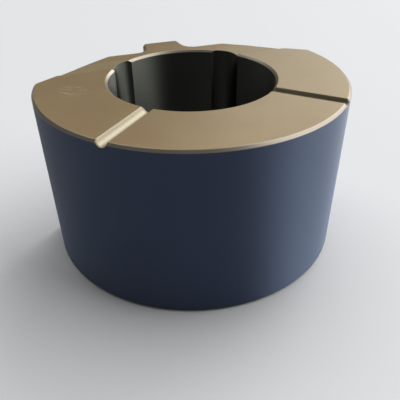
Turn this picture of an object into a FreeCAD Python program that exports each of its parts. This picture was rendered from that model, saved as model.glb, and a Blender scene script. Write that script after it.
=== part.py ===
import FreeCAD, Part
import math
import os

# Sliding bearing sleeve, one piece of dense ceramic that stands on its plain end.
# Millimetres. The origin is on the axis of the bore at half the height. +Z leaves the bore
# through the grooved thrust face, and +Y points from the bore to the locating tab.

# Body
outer_diameter = 65.0
bore_diameter = 35.0
height = 36.0
rim_chamfer = 0.5
bore_chamfer = 0.5
corner_easing = 0.3

# Back of the outline: an angled flat on each side, and a shoulder that carries the tab
shoulder_wall = 1.9
shoulder_width = 28.5
flat_angle = 35.0
tab_length = 6.5
tab_tip_width = 8.9
tab_side_angle = 6.0
tab_root_radius = 2.8

# Two oil grooves along the bore, one on each side of the tab
bore_groove_angle = 45.0
bore_groove_radius = 4.5
bore_groove_depth = 1.2

# Two round-bottomed grooves across the thrust face, on the side away from the tab
face_groove_angle = 135.0
face_groove_radius = 1.25
face_groove_depth = 1.1

# A ramp across the thrust face, from flat to flat over both bore grooves. It is deepest along
# the line of the grooves' centres, and rises to the face towards the tab.
ramp_width = 5.2
ramp_depth = 0.45

# How far a cutting tool runs on past the faces that it opens
overrun = 2.0

outer_radius = outer_diameter / 2
bore_radius = bore_diameter / 2
corner_radius = rim_chamfer + corner_easing
top = height / 2
shoulder_distance = bore_radius + shoulder_wall
tab_reach = shoulder_distance + tab_length
bore_groove_distance = bore_radius + bore_groove_depth - bore_groove_radius


def from_tab(angle, distance=1.0, z=0.0):
    """The point at this distance from the bore's axis, at an angle from +Y towards +X."""
    turn = math.radians(angle)
    return FreeCAD.Vector(distance * math.sin(turn), distance * math.cos(turn), z)


def other_side(shape):
    """The same shape on the other side of the sleeve's plane of symmetry."""
    return shape.mirror(FreeCAD.Vector(0, 0, 0), FreeCAD.Vector(1, 0, 0))


def mirrored(point):
    return FreeCAD.Vector(-point.x, point.y, point.z)


def back_corners():
    """Corners of the +X half of the back, from the round front to the tip of the tab."""
    shoulder_end = FreeCAD.Vector(shoulder_width / 2, shoulder_distance, 0)
    along_flat = from_tab(flat_angle + 90)
    # The flat runs out from the shoulder's end until it meets the outer circle.
    inward = shoulder_end.dot(along_flat)
    reach = math.sqrt(inward ** 2 + outer_radius ** 2 - shoulder_end.Length ** 2) - inward
    flat_end = shoulder_end + along_flat * reach
    tab_root_width = tab_tip_width + 2 * tab_length * math.tan(math.radians(tab_side_angle))
    tab_root = FreeCAD.Vector(tab_root_width / 2, shoulder_distance, 0)
    tab_tip = FreeCAD.Vector(tab_tip_width / 2, tab_reach, 0)
    return flat_end, shoulder_end, tab_root, tab_tip


def upright_edges(solid, corners):
    """The edges of a prism that stand on these corners of its outline, on both sides."""
    places = corners + [mirrored(corner) for corner in corners]
    found = []
    for edge in solid.Edges:
        ends = [FreeCAD.Vector(vertex.X, vertex.Y, 0) for vertex in edge.Vertexes]
        for place in places:
            if all(end.isEqual(place, 1e-6) for end in ends):
                found.append(edge)
    return found


def level_edges(solid):
    """The edges round the top and the bottom face of a prism."""
    return [edge for edge in solid.Edges if edge.BoundBox.ZLength < 1e-6]


def body():
    """The solid outline with its corners eased and both rims chamfered."""
    flat_end, shoulder_end, tab_root, tab_tip = back_corners()
    right_side = [flat_end, shoulder_end, tab_root, tab_tip]
    left_side = [mirrored(corner) for corner in reversed(right_side)]
    back = Part.makePolygon(right_side + left_side)
    front = Part.Arc(left_side[-1], FreeCAD.Vector(0, -outer_radius, 0), flat_end).toShape()
    outline = Part.Face(Part.Wire(back.Edges + [front]))
    prism = outline.extrude(FreeCAD.Vector(0, 0, height))
    prism.translate(FreeCAD.Vector(0, 0, -top))
    prism = prism.makeFillet(tab_root_radius, upright_edges(prism, [tab_root]))
    prism = prism.makeFillet(corner_radius, upright_edges(prism, [flat_end, shoulder_end, tab_tip]))
    return prism.makeChamfer(rim_chamfer, level_edges(prism))


def bore():
    """The bore and its chamfers, as one turned cutting tool."""
    mouth_radius = bore_radius + bore_chamfer
    half_section = [
        FreeCAD.Vector(0, 0, -top - overrun),
        FreeCAD.Vector(mouth_radius, 0, -top - overrun),
        FreeCAD.Vector(mouth_radius, 0, -top),
        FreeCAD.Vector(bore_radius, 0, -top + bore_chamfer),
        FreeCAD.Vector(bore_radius, 0, top - bore_chamfer),
        FreeCAD.Vector(mouth_radius, 0, top),
        FreeCAD.Vector(mouth_radius, 0, top + overrun),
        FreeCAD.Vector(0, 0, top + overrun),
    ]
    section = Part.Face(Part.makePolygon(half_section + half_section[:1]))
    return section.revolve(FreeCAD.Vector(0, 0, 0), FreeCAD.Vector(0, 0, 1), 360)


def bore_groove():
    """One oil groove, cut by a cylinder that runs the whole length of the bore."""
    centre = FreeCAD.Vector(0, bore_groove_distance, -top - overrun)
    tool = Part.makeCylinder(bore_groove_radius, height + 2 * overrun, centre)
    tool.rotate(FreeCAD.Vector(0, 0, 0), FreeCAD.Vector(0, 0, 1), -bore_groove_angle)
    return tool


def face_groove():
    """One groove of the thrust face, cut from the bore out through the rim."""
    start = from_tab(face_groove_angle, 0, top + face_groove_radius - face_groove_depth)
    direction = from_tab(face_groove_angle)
    return Part.makeCylinder(face_groove_radius, outer_radius + overrun, start, direction)


def ramp():
    """The wedge that cuts the ramp in one pass. It reaches as far above the face as below it."""
    side = outer_radius + overrun
    start = from_tab(bore_groove_angle, bore_groove_distance).y
    foot = FreeCAD.Vector(-side, start, top - ramp_depth)
    above_foot = FreeCAD.Vector(-side, start, top + ramp_depth)
    far_end = FreeCAD.Vector(-side, start + 2 * ramp_width, top + ramp_depth)
    section = Part.Face(Part.makePolygon([foot, far_end, above_foot, foot]))
    return section.extrude(FreeCAD.Vector(2 * side, 0, 0))


def bearing_sleeve():
    sleeve = body().cut(bore()).cut(ramp())
    for tool in (bore_groove(), face_groove()):
        sleeve = sleeve.cut(tool).cut(other_side(tool))
    return sleeve.Solids[0]


os.makedirs("parts", exist_ok=True)
bearing_sleeve().exportStep("parts/bearing_sleeve.step")
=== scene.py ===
import math

import bmesh
import bpy
from mathutils import Matrix, Vector

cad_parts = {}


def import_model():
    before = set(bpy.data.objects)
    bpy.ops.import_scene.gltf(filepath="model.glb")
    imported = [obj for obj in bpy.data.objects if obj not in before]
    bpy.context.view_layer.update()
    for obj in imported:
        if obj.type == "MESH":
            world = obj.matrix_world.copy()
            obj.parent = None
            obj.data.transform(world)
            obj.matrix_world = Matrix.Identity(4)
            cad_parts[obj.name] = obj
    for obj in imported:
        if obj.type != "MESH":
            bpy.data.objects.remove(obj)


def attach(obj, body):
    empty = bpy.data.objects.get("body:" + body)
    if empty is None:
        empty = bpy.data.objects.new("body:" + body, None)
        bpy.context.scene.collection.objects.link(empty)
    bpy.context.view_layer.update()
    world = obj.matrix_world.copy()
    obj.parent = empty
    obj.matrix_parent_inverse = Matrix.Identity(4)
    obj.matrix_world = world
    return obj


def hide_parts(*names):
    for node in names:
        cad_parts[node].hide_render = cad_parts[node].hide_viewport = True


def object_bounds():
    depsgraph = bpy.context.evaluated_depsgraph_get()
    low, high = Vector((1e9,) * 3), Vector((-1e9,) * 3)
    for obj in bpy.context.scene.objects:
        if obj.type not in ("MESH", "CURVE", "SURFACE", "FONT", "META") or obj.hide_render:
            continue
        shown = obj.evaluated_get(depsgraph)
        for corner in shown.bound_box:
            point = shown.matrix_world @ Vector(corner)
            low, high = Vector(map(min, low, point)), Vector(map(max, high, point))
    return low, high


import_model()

# Sliding bearing sleeve in dense dark ceramic: lapped thrust face, ground wall, honed bore.
# Metres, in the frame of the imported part: the bore's axis is Z, and +Y points to the tab.

MM = 0.001

# The sleeve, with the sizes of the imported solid
SLEEVE_NODE = "bearing_sleeve"
OUTER_RADIUS = 32.5 * MM
BORE_RADIUS = 17.5 * MM
CHAMFER = 0.5 * MM
CORNER_RADIUS = 0.8 * MM
SHOULDER_WALL = 1.9 * MM
SHOULDER_WIDTH = 28.5 * MM
FLAT_ANGLE = 35
TAB_TIP_WIDTH = 8.9 * MM
TAB_SIDE_ANGLE = 6
TAB_ROOT_RADIUS = 2.8 * MM
BORE_GROOVE_ANGLE = 45
BORE_GROOVE_RADIUS = 4.5 * MM
BORE_GROOVE_DEPTH = 1.2 * MM
FACE_GROOVE_ANGLE = 135
FACE_GROOVE_RADIUS = 1.25 * MM
FACE_GROOVE_DEPTH = 1.1 * MM
RAMP_WIDTH = 5.2 * MM
RAMP_DEPTH = 0.45 * MM

# How finely the round stretches are divided
FRONT_STEPS = 260
CORNER_STEPS = 8
ROOT_STEPS = 14
BORE_STEPS = 240
GROOVE_STEPS = 120

# How far a cutting tool runs on past the faces that it opens
OVERRUN = 2 * MM

# The photograph's camera: a square frame of 400 pixels, and the sleeve's middle in it
PHOTO_SIDE = 400
FOCAL_PIXELS = 470.65
SENSOR_MILLIMETRES = 36
SLEEVE_PIXEL = (193.45, 151.32)
CAMERA_DISTANCE = 109.6 * MM
NEAREST_SEEN = 1 * MM
CAMERA_ELEVATION = 28.9
CAMERA_AZIMUTH = -17.8
CAMERA_ROLL = -1.19

cad_low, cad_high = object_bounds()
BASE = cad_low.z
TOP = cad_high.z
TAB_REACH = cad_high.y
SHOULDER_DISTANCE = BORE_RADIUS + SHOULDER_WALL
BORE_GROOVE_DISTANCE = BORE_RADIUS + BORE_GROOVE_DEPTH - BORE_GROOVE_RADIUS


def from_tab(degrees):
    """The level direction at an angle from +Y towards +X."""
    turn = math.radians(degrees)
    return Vector((math.sin(turn), math.cos(turn)))


def square_to(direction):
    """The level direction a quarter turn further from the tab."""
    return Vector((direction.y, -direction.x))


# Materials

# The ceramic's grain, its clouds of tone, and the specks on it
GRAIN_SIZE = 0.18 * MM
CLOUD_SIZE = 9 * MM
SPECK_SPACING = 4.5 * MM
SPECK_SIZE = 0.11 * MM
SPECK_CORE = 0.4
SPECK_SHARE = 0.4
SPECK_TONE = (0.45, 0.42, 0.38)

# A scratch is where the noise of the tool marks passes this level, which comes down by the reach
# as the share of scratches goes up to 1. It fades in over the edge.
SCRATCH_LEVEL = 0.85
SCRATCH_LEVEL_REACH = 0.3
SCRATCH_EDGE = 0.04
SCRATCH_SHARE = 0.5

# Cosines of the angle between the rounded and the flat normal, where wear begins and is full
WEAR_BEGINS = 0.995
WEAR_FULL = 0.93

# How wide the edges are rounded, in millimetres, where a finish says nothing else
EASING = 0.14
ROUNDING_SAMPLES = 6

# How strongly each mark shows in the colour of a face, from 0 to 1
SCRATCH_STRENGTH = 0.10
WEAR_STRENGTH = 0.55
SPECK_STRENGTH = 0.5

# How deep the grain and the marks look, and how strongly that is shaded
BUMP_DEPTH = 0.02 * MM
BUMP_STRENGTH = 0.12

# The stretches of noise over which a face's tone and its roughness go from lowest to highest
TONE_NOISE = (0.3, 0.7)
ROUGHNESS_NOISE = (0.2, 0.8)

# The node counts a full turn as 1.
QUARTER_TURN = 0.25


def new_group(name, inputs, outputs):
    """An empty shader group. Inputs are (name, kind, value) and outputs are (name, kind)."""
    group = bpy.data.node_groups.new(name, "ShaderNodeTree")
    for label, kind, value in inputs:
        socket = group.interface.new_socket(label, in_out="INPUT", socket_type=kind)
        socket.default_value = value
    for label, kind in outputs:
        group.interface.new_socket(label, in_out="OUTPUT", socket_type=kind)
    source = group.nodes.new("NodeGroupInput")
    result = group.nodes.new("NodeGroupOutput")
    return group, source.outputs, result.inputs


def add(tree, kind, settings=(), **inputs):
    """A new node with its settings, and its inputs given as values or as other nodes' outputs."""
    node = tree.nodes.new(kind)
    for name, value in dict(settings).items():
        setattr(node, name, value)
    for name, value in inputs.items():
        socket = node.inputs[name.replace("_", " ")]
        if isinstance(value, bpy.types.NodeSocket):
            tree.links.new(value, socket)
        else:
            socket.default_value = value
    return node


def maths(tree, operation, first, second):
    """The result of one sum on two values."""
    node = tree.nodes.new("ShaderNodeMath")
    node.operation = operation
    for socket, value in zip(node.inputs, (first, second)):
        if isinstance(value, bpy.types.NodeSocket):
            tree.links.new(value, socket)
        else:
            socket.default_value = value
    return node.outputs[0]


def ranged(tree, value, low, high, new_low=0.0, new_high=1.0):
    """The value moved smoothly from one range to another."""
    node = add(tree, "ShaderNodeMapRange", {"interpolation_type": "SMOOTHSTEP"},
               Value=value, From_Min=low, From_Max=high, To_Min=new_low, To_Max=new_high)
    return node.outputs["Result"]


def grain_group():
    """Fine even grain of a ceramic, and soft clouds of tone over it."""
    group, given, result = new_group(
        "ceramic_grain",
        [("Grain size", "NodeSocketFloat", GRAIN_SIZE), ("Cloud size", "NodeSocketFloat", CLOUD_SIZE)],
        [("Grain", "NodeSocketFloat"), ("Clouds", "NodeSocketFloat")],
    )
    place = add(group, "ShaderNodeTexCoord").outputs["Object"]
    for size, output, detail in (("Grain size", "Grain", 3.0), ("Cloud size", "Clouds", 4.0)):
        scale = maths(group, "DIVIDE", 1.0, given[size])
        noise = add(group, "ShaderNodeTexNoise",
                    Vector=place, Scale=scale, Detail=detail, Roughness=0.55)
        group.links.new(noise.outputs["Fac"], result[output])
    return group


def tool_mark_group():
    """Fine straight marks that a grinding or lapping tool leaves, long one way and narrow across."""
    group, given, result = new_group(
        "tool_marks",
        [
            ("Turn", "NodeSocketVector", (0.0, 0.0, 0.0)),
            ("Marks per metre", "NodeSocketVector", (100.0, 100.0, 4000.0)),
            ("Share", "NodeSocketFloat", SCRATCH_SHARE),
        ],
        [("Lines", "NodeSocketFloat"), ("Scratches", "NodeSocketFloat")],
    )
    place = add(group, "ShaderNodeTexCoord").outputs["Object"]
    turned = add(group, "ShaderNodeMapping", Vector=place, Rotation=given["Turn"])
    spread = add(group, "ShaderNodeMapping",
                 Vector=turned.outputs["Vector"], Scale=given["Marks per metre"])
    lines = add(group, "ShaderNodeTexNoise",
                Vector=spread.outputs["Vector"], Scale=1.0, Detail=5.0, Roughness=0.65)
    group.links.new(lines.outputs["Fac"], result["Lines"])
    lowered = maths(group, "MULTIPLY", given["Share"], SCRATCH_LEVEL_REACH)
    level = maths(group, "SUBTRACT", SCRATCH_LEVEL, lowered)
    full = maths(group, "ADD", level, SCRATCH_EDGE)
    group.links.new(ranged(group, lines.outputs["Fac"], level, full), result["Scratches"])
    return group


def speck_group():
    """Sparse tiny pale specks. A speck is solid over its core, and fades out from there."""
    group, given, result = new_group(
        "specks",
        [
            ("Spacing", "NodeSocketFloat", SPECK_SPACING),
            ("Speck size", "NodeSocketFloat", SPECK_SIZE),
            ("Share", "NodeSocketFloat", SPECK_SHARE),
        ],
        [("Specks", "NodeSocketFloat")],
    )
    place = add(group, "ShaderNodeTexCoord").outputs["Object"]
    scale = maths(group, "DIVIDE", 1.0, given["Spacing"])
    cells = add(group, "ShaderNodeTexVoronoi", Vector=place, Scale=scale)
    size = maths(group, "DIVIDE", given["Speck size"], given["Spacing"])
    core = maths(group, "MULTIPLY", size, SPECK_CORE)
    speck = ranged(group, cells.outputs["Distance"], size, core)
    chosen = add(group, "ShaderNodeSeparateColor", Color=cells.outputs["Color"]).outputs["Red"]
    kept = maths(group, "LESS_THAN", chosen, given["Share"])
    group.links.new(maths(group, "MULTIPLY", speck, kept), result["Specks"])
    return group


def broken_edge_group():
    """Broken edges: the normal as if they were rounded, and a mask of where it turns."""
    group, given, result = new_group(
        "broken_edges",
        [("Width", "NodeSocketFloat", EASING * MM)],
        [("Normal", "NodeSocketVector"), ("Edge", "NodeSocketFloat")],
    )
    rounding = add(group, "ShaderNodeBevel", {"samples": ROUNDING_SAMPLES}, Radius=given["Width"])
    rounded = rounding.outputs["Normal"]
    flat = add(group, "ShaderNodeNewGeometry").outputs["Normal"]
    facing = add(group, "ShaderNodeVectorMath", {"operation": "DOT_PRODUCT"})
    group.links.new(rounded, facing.inputs[0])
    group.links.new(flat, facing.inputs[1])
    group.links.new(rounded, result["Normal"])
    edge = ranged(group, facing.outputs["Value"], WEAR_BEGINS, WEAR_FULL)
    group.links.new(edge, result["Edge"])
    return group


GRAIN = grain_group()
TOOL_MARKS = tool_mark_group()
SPECKS = speck_group()
BROKEN_EDGES = broken_edge_group()


def placed(tree, group, **values):
    """A shader group placed in a material, with its inputs set."""
    node = tree.nodes.new("ShaderNodeGroup")
    node.node_tree = group
    for name, value in values.items():
        node.inputs[name.replace("_", " ")].default_value = value
    return node.outputs


def mixed(tree, share, first, second):
    """
    Two colours mixed by a share, which is another node's output. Each colour is three numbers or
    another node's output.
    """
    node = add(tree, "ShaderNodeMix", {"data_type": "RGBA"})
    tree.links.new(share, node.inputs[0])
    # The node has sockets for other kinds of value too. Those for colours are 6 and 7, and 2.
    for socket, value in ((node.inputs[6], first), (node.inputs[7], second)):
        if isinstance(value, bpy.types.NodeSocket):
            tree.links.new(value, socket)
        else:
            socket.default_value = (*value, 1.0)
    return node.outputs[2]


def ceramic(name, dark, light, edge, roughness, metallic=0.0, index=1.5, specular=0.5,
            tint=(1, 1, 1), turned=0.0, easing=EASING, marks=(), mark_height=0.3,
            grain_height=0.15, speck_share=SPECK_SHARE, scuffs=None):
    """
    One worked face of the ceramic. Dark and light are its tones, and edge is the tone of its
    broken edges, scratches and scuffs. On the thrust face, ramp, chamfers, grooves and wall the
    tones and the gloss tint also carry painted reflection of the surroundings. Roughness is its
    lowest and highest. Index and specular set how strong its gloss is, and tint is the tone of
    the gloss, seen square on. Turned is how far marks that run round the sleeve stretch a
    reflection along its axis. Easing is how wide its edges are rounded, in millimetres. Marks are
    (turn, marks per metre), and the two heights are the shares of the marks and the grain in the
    bump. Scuffs is a function that gives a mask of them.
    """
    material = bpy.data.materials.new(name)
    material.use_nodes = True
    tree = material.node_tree
    shader = tree.nodes["Principled BSDF"]
    shader.inputs["Metallic"].default_value = metallic
    shader.inputs["Specular IOR Level"].default_value = specular
    shader.inputs["Specular Tint"].default_value = (*tint, 1.0)
    shader.inputs["IOR"].default_value = index
    if turned:
        shader.inputs["Anisotropic"].default_value = turned
        shader.inputs["Anisotropic Rotation"].default_value = QUARTER_TURN
        around = add(tree, "ShaderNodeTangent", {"direction_type": "RADIAL", "axis": "Z"})
        tree.links.new(around.outputs["Tangent"], shader.inputs["Tangent"])
    grain = placed(tree, GRAIN, Grain_size=GRAIN_SIZE, Cloud_size=CLOUD_SIZE)
    broken = placed(tree, BROKEN_EDGES, Width=easing * MM)
    specks = placed(tree, SPECKS, Spacing=SPECK_SPACING, Speck_size=SPECK_SIZE, Share=speck_share)

    tone = ranged(tree, grain["Clouds"], *TONE_NOISE)
    colour = mixed(tree, tone, dark, light)
    height = maths(tree, "MULTIPLY", grain["Grain"], grain_height)
    # Half of the roughness follows the grain, and half the last marks made.
    rough = maths(tree, "MULTIPLY", grain["Grain"], 0.5)
    scratched = 0.0
    for turn, spacing in marks:
        lines = placed(tree, TOOL_MARKS, Turn=turn, Marks_per_metre=spacing, Share=SCRATCH_SHARE)
        height = maths(tree, "ADD", height, maths(tree, "MULTIPLY", lines["Lines"], mark_height))
        scratched = maths(tree, "MAXIMUM", lines["Scratches"], scratched)
    if marks:
        rough = maths(tree, "ADD", rough, maths(tree, "MULTIPLY", lines["Lines"], 0.5))
        colour = mixed(tree, maths(tree, "MULTIPLY", scratched, SCRATCH_STRENGTH), colour, edge)
    if scuffs:
        colour = mixed(tree, scuffs(tree), colour, edge)
    worn = maths(tree, "MULTIPLY", broken["Edge"], WEAR_STRENGTH)
    colour = mixed(tree, worn, colour, edge)
    speckled = maths(tree, "MULTIPLY", specks["Specks"], SPECK_STRENGTH)
    colour = mixed(tree, speckled, colour, SPECK_TONE)
    tree.links.new(colour, shader.inputs["Base Color"])
    tree.links.new(ranged(tree, rough, *ROUGHNESS_NOISE, *roughness), shader.inputs["Roughness"])
    bump = add(tree, "ShaderNodeBump", Strength=BUMP_STRENGTH, Distance=BUMP_DEPTH,
               Height=height, Normal=broken["Normal"])
    tree.links.new(bump.outputs["Normal"], shader.inputs["Normal"])
    return material


SCUFF_PLACE = (-24.8 * MM, 0.6 * MM, TOP)
SCUFF_REACH = 4.2 * MM
SCUFF_CORE = 0.3 * SCUFF_REACH
SCUFF_TURN = math.radians(38)
SCUFFS_PER_METRE = (330.0, 3100.0, 1.0)
SCUFF_STRENGTH = 0.7


def handling_scuffs(tree):
    """A round patch of faint short scuffs on the -X side of the thrust face."""
    place = add(tree, "ShaderNodeTexCoord").outputs["Object"]
    away = add(tree, "ShaderNodeVectorMath", {"operation": "DISTANCE"})
    tree.links.new(place, away.inputs[0])
    away.inputs[1].default_value = SCUFF_PLACE
    patch = ranged(tree, away.outputs["Value"], SCUFF_REACH, SCUFF_CORE)
    lines = placed(tree, TOOL_MARKS, Turn=(0.0, 0.0, SCUFF_TURN),
                   Marks_per_metre=SCUFFS_PER_METRE, Share=1.0)
    scuffs = maths(tree, "MULTIPLY", patch, lines["Scratches"])
    return maths(tree, "MULTIPLY", scuffs, SCUFF_STRENGTH)


# Silicon carbide mirrors a fifth of the light that falls square on it.
SILICON_CARBIDE_INDEX = 2.65

# The thrust face's tan tones and warm gloss tint are painted warm reflection of the surroundings; the
# ceramic itself is dark grey.
LAPPED = ceramic(
    "lapped_thrust_face_painted_warm_reflection", (0.197, 0.128, 0.061), (0.213, 0.148, 0.071), (0.46, 0.37, 0.26),
    roughness=(0.26, 0.37), metallic=0.2, specular=0.46, tint=(1.0, 0.98, 0.70), easing=0.2,
    marks=[((0, 0, math.radians(turn)), (260, 3600, 1)) for turn in (20, 80, 140)],
    mark_height=0.12, grain_height=0.2, speck_share=0.5, scuffs=handling_scuffs,
)
# The ramp's tan tones and warm gloss tint are painted warm reflection, as on the thrust face.
GROUND_RAMP = ceramic(
    "ground_ramp_painted_warm_reflection", (0.158, 0.115, 0.052), (0.175, 0.130, 0.061), (0.42, 0.35, 0.25),
    roughness=(0.32, 0.45), metallic=0.2, specular=0.37, tint=(1.0, 0.97, 0.66),
    marks=[((0, 0, 0), (120, 4200, 1))],
)
# The chamfers are dark like the ceramic; their warm brown hue and warm gloss tint are painted
# reflection.
CHAMFERED = ceramic(
    "ground_chamfer_painted_warm_reflection", (0.062, 0.051, 0.034), (0.080, 0.066, 0.045), (0.11, 0.09, 0.06), easing=0.3,
    roughness=(0.34, 0.42), index=SILICON_CARBIDE_INDEX, specular=0.58, tint=(1.0, 0.90, 0.74),
)
# The wall is near-black like the ceramic; its blue hue and blue gloss tint are painted reflection of
# blue surroundings.
GROUND_WALL = ceramic(
    "ground_wall_painted_blue_reflection", (0.0056, 0.0070, 0.0215), (0.0076, 0.0092, 0.0260), (0.08, 0.085, 0.095),
    roughness=(0.54, 0.62), index=1.7, specular=1.0, tint=(0.54, 0.70, 1.0), turned=1.0,
    marks=[((0, 0, 0), (45, 45, 5200))], mark_height=0.25, grain_height=0.12, speck_share=0.3,
)
HONED_BORE = ceramic(
    "honed_bore", (0.0018, 0.0021, 0.0017), (0.0028, 0.0032, 0.0026), (0.06, 0.06, 0.055),
    roughness=(0.42, 0.50), index=SILICON_CARBIDE_INDEX, specular=0.265, tint=(0.96, 1.0, 0.85),
    turned=1.0, marks=[((0, 0, 0), (60, 60, 4200))],
)
# The grooves are dark like the ceramic; their brown hue and warm gloss tint are painted reflection.
# The wide easing keeps the lips of the face grooves from turning dark.
GROUND_GROOVE = ceramic(
    "ground_groove_painted_warm_reflection", (0.044, 0.024, 0.004), (0.056, 0.033, 0.007), (0.07, 0.04, 0.01), easing=0.9,
    roughness=(0.30, 0.40), index=SILICON_CARBIDE_INDEX, specular=0.47, tint=(1.0, 0.90, 0.66),
)
BASE_FACE = ceramic(
    "ground_base", (0.030, 0.031, 0.034), (0.038, 0.039, 0.042), (0.12, 0.12, 0.12),
    roughness=(0.40, 0.52), specular=0.4,
    marks=[((0, 0, math.radians(turn)), (220, 3200, 1)) for turn in (10, 70, 130)],
)
FINISHES = [LAPPED, GROUND_RAMP, CHAMFERED, GROUND_WALL, HONED_BORE, GROUND_GROOVE, BASE_FACE]


# The sleeve's form

def crossing(normal_a, distance_a, normal_b, distance_b):
    """Where two level lines cross, each given by its normal and its distance from the axis."""
    across = normal_a.x * normal_b.y - normal_a.y * normal_b.x
    return Vector((
        (distance_a * normal_b.y - distance_b * normal_a.y) / across,
        (distance_b * normal_a.x - distance_a * normal_b.x) / across,
    ))


def outline_arcs():
    """
    The round stretches of the +X half of the outline, from the front to the tab's tip, as
    (centre, radius, first angle, last angle, steps). A hollow corner has a negative radius.
    """
    flat = from_tab(FLAT_ANGLE)
    flat_distance = Vector((SHOULDER_WIDTH / 2, SHOULDER_DISTANCE)).dot(flat)
    side_angle = 90 - TAB_SIDE_ANGLE
    side = from_tab(side_angle)
    side_distance = Vector((TAB_TIP_WIDTH / 2, TAB_REACH)).dot(side)
    back = from_tab(0)

    inner = flat_distance - CORNER_RADIUS
    centre_radius = OUTER_RADIUS - CORNER_RADIUS
    flat_end = flat * inner + square_to(flat) * math.sqrt(centre_radius ** 2 - inner ** 2)
    flat_end_angle = math.degrees(math.atan2(flat_end.x, flat_end.y))
    shoulder_end = crossing(flat, inner, back, SHOULDER_DISTANCE - CORNER_RADIUS)
    root = crossing(back, SHOULDER_DISTANCE + TAB_ROOT_RADIUS, side, side_distance + TAB_ROOT_RADIUS)
    tip = crossing(side, side_distance - CORNER_RADIUS, back, TAB_REACH - CORNER_RADIUS)
    return [
        (Vector((0, 0)), OUTER_RADIUS, 180, flat_end_angle, FRONT_STEPS // 2),
        (flat_end, CORNER_RADIUS, flat_end_angle, FLAT_ANGLE, CORNER_STEPS),
        (shoulder_end, CORNER_RADIUS, FLAT_ANGLE, 0, CORNER_STEPS),
        (root, -TAB_ROOT_RADIUS, 0, side_angle, ROOT_STEPS),
        (tip, CORNER_RADIUS, side_angle, 0, CORNER_STEPS),
    ]


def outline(inset):
    """The outline's points, moved inwards by the inset, once round from the middle of the front."""
    half = []
    for centre, radius, first, last, steps in outline_arcs():
        for step in range(steps + 1):
            direction = from_tab(first + (last - first) * step / steps)
            half.append(centre + direction * (radius - inset))
    other_half = [Vector((-point.x, point.y)) for point in reversed(half)]
    return half + other_half[:-1]


def circle(radius, steps, centre=(0, 0)):
    """Points round a circle."""
    turns = [2 * math.pi * (step + 0.5) / steps for step in range(steps)]
    return [Vector((centre[0] + radius * math.cos(t), centre[1] + radius * math.sin(t))) for t in turns]


def stacked(name, rings, finishes, caps):
    """
    A closed solid from level rings of points, as (points, height) from the bottom up, with a
    finish for each band between two rings and for the two caps.
    """
    mesh = bpy.data.meshes.new(name)
    form = bmesh.new()
    levels = [[form.verts.new((*point, height)) for point in points] for points, height in rings]
    for lower, upper, finish in zip(levels, levels[1:], finishes):
        for k in range(len(lower)):
            n = (k + 1) % len(lower)
            face = form.faces.new((lower[k], lower[n], upper[n], upper[k]))
            face.material_index = FINISHES.index(finish)
    for level, finish in zip((levels[0], levels[-1]), caps):
        face = form.faces.new(level)
        face.material_index = FINISHES.index(finish)
    bmesh.ops.recalc_face_normals(form, faces=form.faces)
    form.to_mesh(mesh)
    form.free()
    for finish in FINISHES:
        mesh.materials.append(finish)
    piece = bpy.data.objects.new(name, mesh)
    bpy.context.scene.collection.objects.link(piece)
    return piece


def body():
    """The sleeve's outside, chamfered round both rims."""
    small, full = outline(CHAMFER), outline(0)
    rings = [(small, BASE), (full, BASE + CHAMFER), (full, TOP - CHAMFER), (small, TOP)]
    return stacked("sleeve", rings, [CHAMFERED, GROUND_WALL, CHAMFERED], [BASE_FACE, LAPPED])


def bore_tool():
    """The bore with its chamfers."""
    mouth, wall = circle(BORE_RADIUS + CHAMFER, BORE_STEPS), circle(BORE_RADIUS, BORE_STEPS)
    rings = [(mouth, BASE - OVERRUN), (mouth, BASE), (wall, BASE + CHAMFER),
             (wall, TOP - CHAMFER), (mouth, TOP), (mouth, TOP + OVERRUN)]
    bands = [HONED_BORE, CHAMFERED, HONED_BORE, CHAMFERED, HONED_BORE]
    return stacked("bore_tool", rings, bands, [HONED_BORE] * 2)


def bore_groove_tool(side):
    """One oil groove along the bore."""
    centre = from_tab(side * BORE_GROOVE_ANGLE) * BORE_GROOVE_DISTANCE
    ring = circle(BORE_GROOVE_RADIUS, GROOVE_STEPS, centre)
    return stacked("bore_groove_tool", [(ring, BASE - OVERRUN), (ring, TOP + OVERRUN)], [HONED_BORE],
                   [HONED_BORE] * 2)


def face_groove_tool(side):
    """One round-bottomed groove across the thrust face."""
    ring = circle(FACE_GROOVE_RADIUS, GROOVE_STEPS)
    tool = stacked("face_groove_tool", [(ring, 0), (ring, OUTER_RADIUS + OVERRUN)], [GROUND_GROOVE],
                   [GROUND_GROOVE] * 2)
    run = from_tab(side * FACE_GROOVE_ANGLE).to_3d()
    turn = Vector((0, 0, 1)).rotation_difference(run).to_matrix().to_4x4()
    lift = Matrix.Translation((0, 0, TOP + FACE_GROOVE_RADIUS - FACE_GROOVE_DEPTH))
    tool.data.transform(lift @ turn)
    return tool


def ramp_tool():
    """The wedge that cuts the ramp from flat to flat, over both bore grooves."""
    reach = OUTER_RADIUS + OVERRUN
    start = (from_tab(BORE_GROOVE_ANGLE) * BORE_GROOVE_DISTANCE).y
    ring = [
        Vector((start, TOP - RAMP_DEPTH)),
        Vector((start + 2 * RAMP_WIDTH, TOP + RAMP_DEPTH)),
        Vector((start, TOP + RAMP_DEPTH)),
    ]
    tool = stacked("ramp_tool", [(ring, -reach), (ring, reach)], [GROUND_RAMP], [GROUND_RAMP] * 2)
    # The ring lies in the tool's XY plane, so its X, Y and Z become the sleeve's Y, Z and X.
    tool.data.transform(Matrix(((0, 0, 1, 0), (1, 0, 0, 0), (0, 1, 0, 0), (0, 0, 0, 1))))
    return tool


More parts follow.
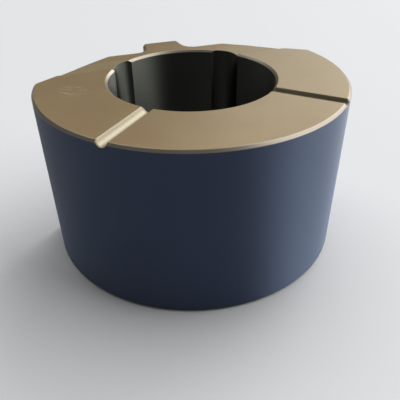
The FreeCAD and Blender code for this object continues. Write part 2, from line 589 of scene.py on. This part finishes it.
def cut(piece, tools):
    """The piece with each tool's form taken out of it. The cut faces keep the tools' finishes."""
    for tool in tools:
        step = piece.modifiers.new(tool.name, "BOOLEAN")
        step.operation = "DIFFERENCE"
        step.solver = "EXACT"
        step.material_mode = "TRANSFER"
        step.object = tool
    bpy.context.view_layer.update()
    solid = piece.evaluated_get(bpy.context.evaluated_depsgraph_get())
    mesh = bpy.data.meshes.new_from_object(solid)
    piece.modifiers.clear()
    piece.data = mesh
    for tool in tools:
        bpy.data.objects.remove(tool)


SHARP_ANGLE = math.radians(20)
WELD_DISTANCE = 0.0005 * MM


def shade(piece):
    """Smooth shading, with a sharp edge wherever the finish changes or the surface turns a corner."""
    form = bmesh.new()
    form.from_mesh(piece.data)
    bmesh.ops.remove_doubles(form, verts=form.verts, dist=WELD_DISTANCE)
    for face in form.faces:
        face.smooth = True
    for edge in form.edges:
        finishes = {face.material_index for face in edge.link_faces}
        edge.smooth = len(finishes) == 1 and edge.calc_face_angle(0) < SHARP_ANGLE
    form.to_mesh(piece.data)
    form.free()
    weighted = piece.modifiers.new("even_shading", "WEIGHTED_NORMAL")
    weighted.keep_sharp = True


sleeve = body()
tools = [bore_tool(), ramp_tool()]
for side in (1, -1):
    tools += [bore_groove_tool(side), face_groove_tool(side)]
cut(sleeve, tools)
shade(sleeve)
sleeve.name = "bearing_sleeve_finished"
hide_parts(SLEEVE_NODE)
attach(sleeve, "root")


# The studio

FLOOR_REACH = 2.5
FLOOR_COLOUR = (0.62, 0.63, 0.64, 1.0)
FLOOR_ROUGHNESS = 0.8
SKY_STRENGTH = 0.13


def floor():
    """A wide plain pale floor under the sleeve."""
    mesh = bpy.data.meshes.new("floor")
    r = FLOOR_REACH
    mesh.from_pydata([(-r, -r, BASE), (r, -r, BASE), (r, r, BASE), (-r, r, BASE)], [], [(0, 1, 2, 3)])
    plain = bpy.data.materials.new("pale_floor")
    plain.use_nodes = True
    shader = plain.node_tree.nodes["Principled BSDF"]
    shader.inputs["Base Color"].default_value = FLOOR_COLOUR
    shader.inputs["Roughness"].default_value = FLOOR_ROUGHNESS
    mesh.materials.append(plain)
    surface = bpy.data.objects.new("floor", mesh)
    bpy.context.scene.collection.objects.link(surface)


def direction_to(azimuth, elevation):
    """The direction from the sleeve at an angle from +X towards +Y, and up from level."""
    a, e = math.radians(azimuth), math.radians(elevation)
    return Vector((math.cos(a) * math.cos(e), math.sin(a) * math.cos(e), math.sin(e)))


def soft_light(name, azimuth, elevation, breadth, strength):
    """
    A far, broad and even light. Breadth is the angle that its round face covers, in degrees, and
    strength is the light that falls on a surface turned to it.
    """
    lamp = bpy.data.lights.new(name, "SUN")
    lamp.angle = math.radians(breadth)
    lamp.energy = strength
    holder = bpy.data.objects.new(name, lamp)
    holder.rotation_euler = direction_to(azimuth, elevation).to_track_quat("Z", "Y").to_euler()
    bpy.context.scene.collection.objects.link(holder)


def world():
    """An even grey sky, which is pale where the camera looks past the floor."""
    sky = bpy.data.worlds.new("studio")
    sky.use_nodes = True
    tree = sky.node_tree
    tree.nodes.clear()
    light = add(tree, "ShaderNodeBackground", Color=(1, 1, 1, 1), Strength=SKY_STRENGTH)
    seen = add(tree, "ShaderNodeBackground", Color=FLOOR_COLOUR, Strength=1.0)
    choice = add(tree, "ShaderNodeMixShader")
    tree.links.new(add(tree, "ShaderNodeLightPath").outputs["Is Camera Ray"], choice.inputs[0])
    tree.links.new(light.outputs[0], choice.inputs[1])
    tree.links.new(seen.outputs[0], choice.inputs[2])
    result = tree.nodes.new("ShaderNodeOutputWorld")
    tree.links.new(choice.outputs[0], result.inputs["Surface"])
    bpy.context.scene.world = sky


def photo_camera():
    """A camera that sees the sleeve as the photograph does."""
    e, roll = math.radians(CAMERA_ELEVATION), math.radians(CAMERA_ROLL)
    eye = Vector((0, -math.cos(e), math.sin(e))) * CAMERA_DISTANCE
    forward = -eye.normalized()
    right = Vector((1, 0, 0))
    up = right.cross(forward)
    level = Matrix((
        right * math.cos(roll) + up * math.sin(roll),
        up * math.cos(roll) - right * math.sin(roll),
        forward,
    ))
    # The camera turns until the sleeve's middle lands on its pixel.
    middle = PHOTO_SIDE / 2
    seen = Vector((SLEEVE_PIXEL[0] - middle, middle - SLEEVE_PIXEL[1], FOCAL_PIXELS))
    turned = Vector((0, 0, 1)).rotation_difference(seen).to_matrix() @ level
    axes = Matrix((turned[0], turned[1], -turned[2])).transposed()
    about = Matrix.Rotation(math.radians(CAMERA_AZIMUTH), 4, "Z")
    data = bpy.data.cameras.new("camera")
    data.sensor_width = SENSOR_MILLIMETRES
    data.lens = SENSOR_MILLIMETRES * FOCAL_PIXELS / PHOTO_SIDE
    data.clip_start = NEAREST_SEEN
    camera = bpy.data.objects.new("camera", data)
    camera.matrix_world = about @ Matrix.Translation(eye) @ axes.to_4x4()
    bpy.context.scene.collection.objects.link(camera)
    bpy.context.scene.camera = camera


floor()
world()
photo_camera()
soft_light("window_side", azimuth=2, elevation=28, breadth=86, strength=3.95)
soft_light("back_right", azimuth=46, elevation=35, breadth=49, strength=0.93)
soft_light("back_high", azimuth=98, elevation=58, breadth=57, strength=1.13)
bpy.context.scene.view_settings.view_transform = "Standard"
